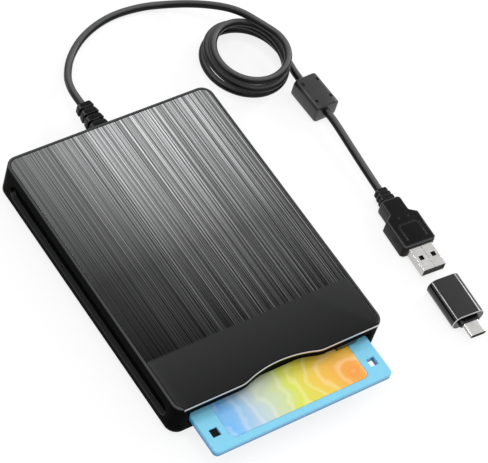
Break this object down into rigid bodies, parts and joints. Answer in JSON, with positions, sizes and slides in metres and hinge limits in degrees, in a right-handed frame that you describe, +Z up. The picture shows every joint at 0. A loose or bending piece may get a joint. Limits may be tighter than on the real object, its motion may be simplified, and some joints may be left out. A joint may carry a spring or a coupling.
{
  "type": "external floppy disk drive",
  "caption": "Slim external floppy disk drive with a diskette standing in its front slot, a fixed USB cord with a loose coil and ferrite, and a small plug adapter.",
  "frame": {"origin": "middle of the case's footprint on the surface that its rubber feet stand on", "axes": "+X right, +Y from the slot to the cord, +Z up"},
  "size_m": [0.1617, 0.2246, 0.0184],
  "materials": {
    "black_case": "satin black",
    "black_gloss": "polished black",
    "dark_brushed": "brushed, dark grey",
    "bright_metal": "bright",
    "foot_rubber": "matt",
    "sheet_steel": "zinc plated",
    "brass": "turned",
    "lens": "translucent green",
    "board_green": "solder mask",
    "ivory_plastic": "moulded",
    "copper": "enamelled wire",
    "disk_blue": "glossy sky blue",
    "label_paper": "printed, satin",
    "liner_white": "non-woven",
    "media_brown": "coated film",
    "cord_black": "satin flexible plastic",
    "ferrite_grey": "sintered",
    "shell_metal": "nickel plated"
  },
  "bodies": {
    "drive": {"upper_case": "black_case", "bottom_cover": "black_case", "rubber_feet": "foot_rubber", "case_screws": "sheet_steel", "top_plate": "dark_brushed", "front_trim": "bright_metal", "front_bezel": "black_case", "access_light": "lens", "drive_chassis": "sheet_steel", "chassis_screws": "sheet_steel", "spindle_motor_plate": "sheet_steel", "stator_coils": "copper", "guide_rods": "bright_metal", "stepper_motor": "sheet_steel", "eject_springs": "sheet_steel", "sensor_switches": "black_case", "control_board": "board_green", "interface_board": "board_green", "board_chips": "black_case", "board_connectors": "ivory_plastic", "flat_cable": "ivory_plastic", "strain_relief": "cord_black", "cord_loop": "cord_black", "cord_coil": "cord_black", "cord_lead": "cord_black", "ferrite_housing_upper": "black_case", "ferrite_housing_lower": "black_case", "ferrite_core": "ferrite_grey", "cord_tail": "cord_black", "plug_overmould": "cord_black", "plug_shell": "shell_metal", "plug_tongue": "ivory_plastic", "plug_contacts": "brass"},
    "ejector": {"eject_button": "black_case", "eject_slide": "sheet_steel"},
    "carrier": {"disk_carrier": "sheet_steel"},
    "diskette": {"diskette_shell_upper": "disk_blue", "diskette_shell_lower": "disk_blue", "diskette_label": "label_paper", "diskette_liners": "liner_white"},
    "shutter": {"diskette_shutter": "sheet_steel"},
    "write_tab": {"write_protect_tab": "black_gloss"},
    "media": {"magnetic_disc": "media_brown", "diskette_hub": "sheet_steel"},
    "spindle": {"spindle_rotor": "sheet_steel"},
    "carriage": {"head_carriage": "ivory_plastic", "arm_hinge_pin": "sheet_steel"},
    "head_arm": {"upper_head_arm": "ivory_plastic"},
    "lead_screw": {"lead_screw": "sheet_steel"},
    "adapter": {"adapter_body": "black_gloss", "adapter_socket": "shell_metal", "adapter_tongue": "ivory_plastic", "adapter_collar": "black_gloss", "usb_c_shell": "shell_metal", "usb_c_insert": "black_case"}
  },
  "joints": [
    {"name": "eject_slide", "type": "slide", "parent": "drive", "child": "ejector", "axis": [0, 1, 0], "range_m": [-0.006, 0]},
    {"name": "carrier_drop", "type": "slide", "parent": "drive", "child": "carrier", "axis": [0, 0, 1], "range_m": [-0.0024, 0]},
    {"name": "diskette_slide", "type": "slide", "parent": "carrier", "child": "diskette", "axis": [0, 1, 0], "range_m": [-0.075, 0.0217]},
    {"name": "shutter_slide", "type": "slide", "parent": "diskette", "child": "shutter", "axis": [1, 0, 0], "range_m": [0, 0.014], "stiffness_N_per_m": 20, "springref_m": -0.004},
    {"name": "write_tab_slide", "type": "slide", "parent": "diskette", "child": "write_tab", "axis": [0, 1, 0], "range_m": [0, 0.0042]},
    {"name": "media_spin", "type": "hinge", "parent": "diskette", "child": "media", "pos_m": [0, -0.0412, 0.0099], "axis": [0, 0, 1], "continuous": true},
    {"name": "spindle_spin", "type": "hinge", "parent": "drive", "child": "spindle", "pos_m": [0, -0.0195, 0.0045], "axis": [0, 0, 1], "continuous": true},
    {"name": "head_carriage_slide", "type": "slide", "parent": "drive", "child": "carriage", "axis": [0, 1, 0], "range_m": [-0.015, 0]},
    {"name": "lead_screw_spin", "type": "hinge", "parent": "drive", "child": "lead_screw", "pos_m": [-0.021, 0.045, 0.0096], "axis": [0, 1, 0], "range_deg": [-1830, 30]},
    {"name": "head_arm_hinge", "type": "hinge", "parent": "carriage", "child": "head_arm", "pos_m": [0, 0.052, 0.0127], "axis": [1, 0, 0], "range_deg": [0, 6]},
    {"name": "adapter_slide", "type": "slide", "parent": "drive", "child": "adapter", "axis": [-0.0576, -0.9983, 0], "range_m": [-0.019, 0.02]}
  ],
  "couplings": [
    {"joint": "carrier_drop", "follows": "eject_slide", "ratio": 0.4},
    {"joint": "head_arm_hinge", "follows": "eject_slide", "rad_per_m": -13},
    {"joint": "lead_screw_spin", "follows": "head_carriage_slide", "rad_per_m": 2094.4}
  ]
}
